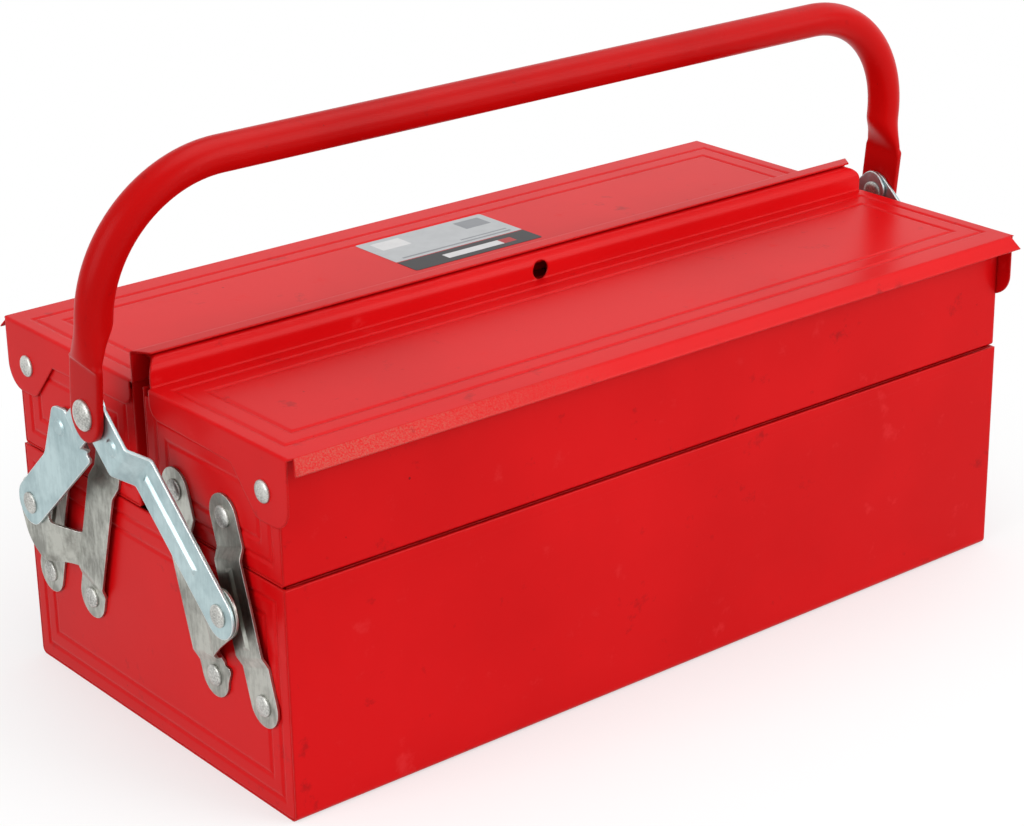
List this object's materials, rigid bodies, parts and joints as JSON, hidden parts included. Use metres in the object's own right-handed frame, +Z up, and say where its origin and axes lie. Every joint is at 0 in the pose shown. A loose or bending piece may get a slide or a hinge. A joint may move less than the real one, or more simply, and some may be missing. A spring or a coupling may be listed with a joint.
{
  "type": "cantilever tool box",
  "caption": "Steel cantilever tool box: a deep base, two upper trays that fold out on joggled links and arms, hinged lids that meet at a padlock ridge, and a tube carrying handle.",
  "frame": {"origin": "middle of the underside", "axes": "+X along the box, -Y towards the front long side, +Z up"},
  "size_m": [0.4772, 0.231, 0.2654],
  "materials": {
    "red_enamel": "glossy red enamel over pressed steel",
    "zinc_plate": "bright zinc plate",
    "bare_steel": "dull plated steel",
    "rivet_steel": "pale speckled steel"
  },
  "bodies": {
    "base": {"base_shell": "red_enamel", "base_end_left": "red_enamel", "base_end_right": "red_enamel", "base_link_rivets": "rivet_steel"},
    "handle": {"handle": "red_enamel"},
    "front_lid": {"front_lid": "red_enamel"},
    "rear_lid": {"rear_lid": "red_enamel"},
    "front_inner_links": {"front_inner_link_left": "bare_steel", "front_inner_link_right": "bare_steel", "front_arm_rivets": "rivet_steel"},
    "front_outer_links": {"front_outer_link_left": "bare_steel", "front_outer_link_right": "bare_steel"},
    "front_arms": {"front_arm_left": "zinc_plate", "front_arm_right": "zinc_plate", "handle_rivets": "rivet_steel"},
    "front_tray": {"front_tray_shell": "red_enamel", "front_tray_end_left": "red_enamel", "front_tray_end_right": "red_enamel", "front_tray_link_rivets": "rivet_steel", "front_hinge_rivets": "rivet_steel"},
    "rear_inner_links": {"rear_inner_link_left": "bare_steel", "rear_inner_link_right": "bare_steel", "rear_arm_rivets": "rivet_steel"},
    "rear_outer_links": {"rear_outer_link_left": "bare_steel", "rear_outer_link_right": "bare_steel"},
    "rear_arms": {"rear_arm_left": "zinc_plate", "rear_arm_right": "zinc_plate"},
    "rear_tray": {"rear_tray_shell": "red_enamel", "rear_tray_end_left": "red_enamel", "rear_tray_end_right": "red_enamel", "rear_tray_link_rivets": "rivet_steel", "rear_hinge_rivets": "rivet_steel"}
  },
  "joints": [
    {"name": "trays_fold", "type": "hinge", "parent": "base", "child": "front_inner_links", "pos_m": [0, -0.0495, 0.048], "axis": [1, 0, 0], "range_deg": [0, 35]},
    {"name": "front_outer_links_fold", "type": "hinge", "parent": "base", "child": "front_outer_links", "pos_m": [0, -0.0855, 0.048], "axis": [1, 0, 0], "range_deg": [0, 35]},
    {"name": "front_tray_level", "type": "hinge", "parent": "front_inner_links", "child": "front_tray", "pos_m": [0, -0.02611, 0.1245], "axis": [1, 0, 0], "range_deg": [-35, 0]},
    {"name": "front_arms_fold", "type": "hinge", "parent": "front_inner_links", "child": "front_arms", "pos_m": [0, -0.07523, 0.08902], "axis": [1, 0, 0], "range_deg": [-55.44, 0]},
    {"name": "handle_swing", "type": "hinge", "parent": "front_arms", "child": "handle", "pos_m": [0, 0, 0.1565], "axis": [1, 0, 0], "range_deg": [-9, 38]},
    {"name": "rear_inner_links_fold", "type": "hinge", "parent": "base", "child": "rear_inner_links", "pos_m": [0, 0.0495, 0.048], "axis": [-1, 0, 0], "range_deg": [0, 35]},
    {"name": "rear_outer_links_fold", "type": "hinge", "parent": "base", "child": "rear_outer_links", "pos_m": [0, 0.0855, 0.048], "axis": [-1, 0, 0], "range_deg": [0, 35]},
    {"name": "rear_tray_level", "type": "hinge", "parent": "rear_inner_links", "child": "rear_tray", "pos_m": [0, 0.02611, 0.1245], "axis": [-1, 0, 0], "range_deg": [-35, 0]},
    {"name": "rear_arms_fold", "type": "hinge", "parent": "rear_inner_links", "child": "rear_arms", "pos_m": [0, 0.07523, 0.08902], "axis": [-1, 0, 0], "range_deg": [-55.44, 0]},
    {"name": "rear_lid_open", "type": "hinge", "parent": "rear_tray", "child": "rear_lid", "pos_m": [0, 0.0926, 0.1455], "axis": [-1, 0, 0], "range_deg": [0, 97]},
    {"name": "front_lid_open", "type": "hinge", "parent": "front_tray", "child": "front_lid", "pos_m": [0, -0.0926, 0.1455], "axis": [1, 0, 0], "range_deg": [0, 97]}
  ],
  "couplings": [
    {"joint": "front_outer_links_fold", "follows": "trays_fold", "ratio": 1},
    {"joint": "front_tray_level", "follows": "trays_fold", "ratio": -1},
    {"joint": "front_arms_fold", "follows": "trays_fold", "ratio": -1.5836},
    {"joint": "rear_inner_links_fold", "follows": "trays_fold", "ratio": 1},
    {"joint": "rear_outer_links_fold", "follows": "trays_fold", "ratio": 1},
    {"joint": "rear_tray_level", "follows": "trays_fold", "ratio": -1},
    {"joint": "rear_arms_fold", "follows": "trays_fold", "ratio": -1.5836},
    {"joint": "front_lid_open", "follows": "rear_lid_open", "ratio": 1}
  ]
}
